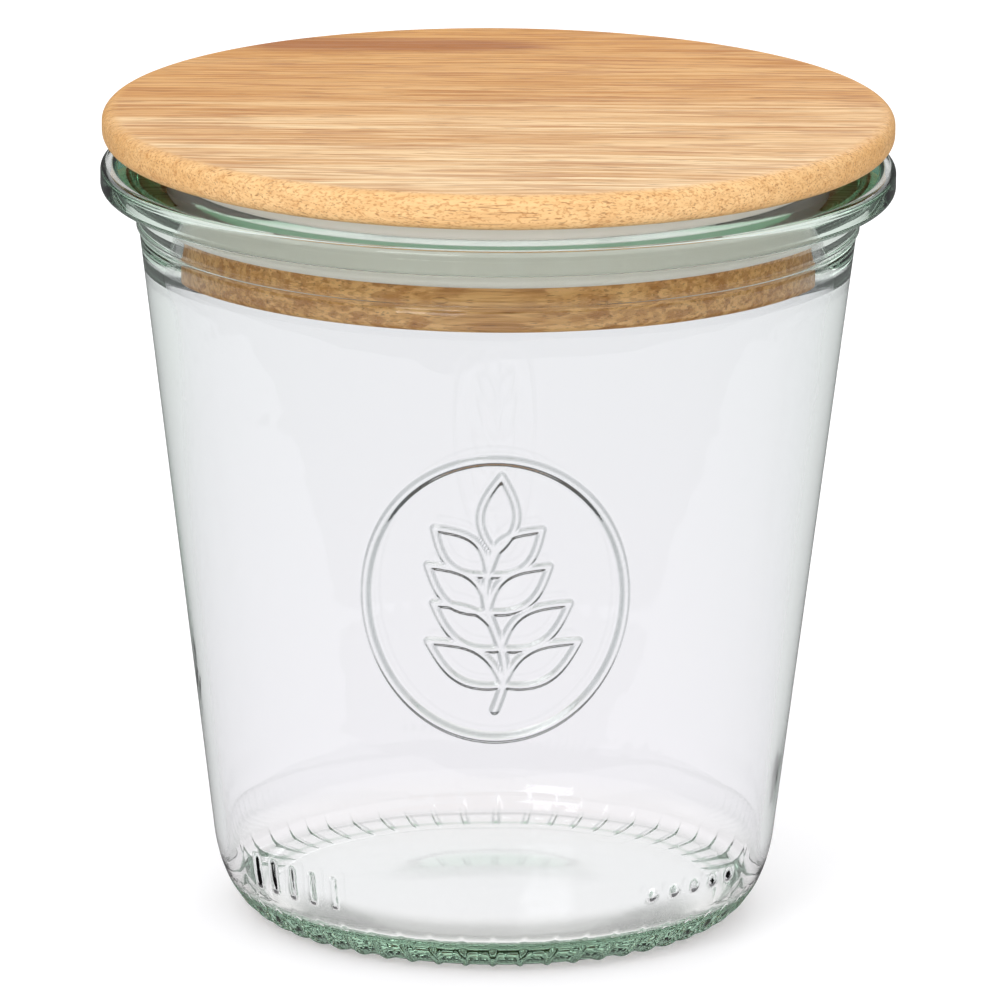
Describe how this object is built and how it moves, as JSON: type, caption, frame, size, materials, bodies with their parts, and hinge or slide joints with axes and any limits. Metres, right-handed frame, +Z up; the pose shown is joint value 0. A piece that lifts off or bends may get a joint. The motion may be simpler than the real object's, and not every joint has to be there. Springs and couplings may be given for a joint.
{
  "type": "canning jar",
  "caption": "Tapered round glass canning jar with a flanged rim and knurled base, closed by a flat wooden plug lid with a clear silicone seal that lifts off.",
  "frame": {"origin": "centre of the bearing ring, on the surface that the jar stands on", "axes": "+Z up along the jar's axis; seen as in the picture, +X is to the right and +Y points away from the viewer"},
  "size_m": [0.089, 0.089, 0.0923],
  "materials": {
    "glass": "clear moulded glass, faintly green where it is thick",
    "wood": "fine sanded and oiled light hardwood",
    "silicone": "clear, slightly milky silicone"
  },
  "bodies": {
    "jar": {"jar": "glass"},
    "closure": {"lid": "wood", "seal": "silicone"}
  },
  "joints": [
    {"name": "lid_lift", "type": "slide", "parent": "jar", "child": "closure", "axis": [0, 0, 1], "range_m": [0, 0.06]}
  ]
}
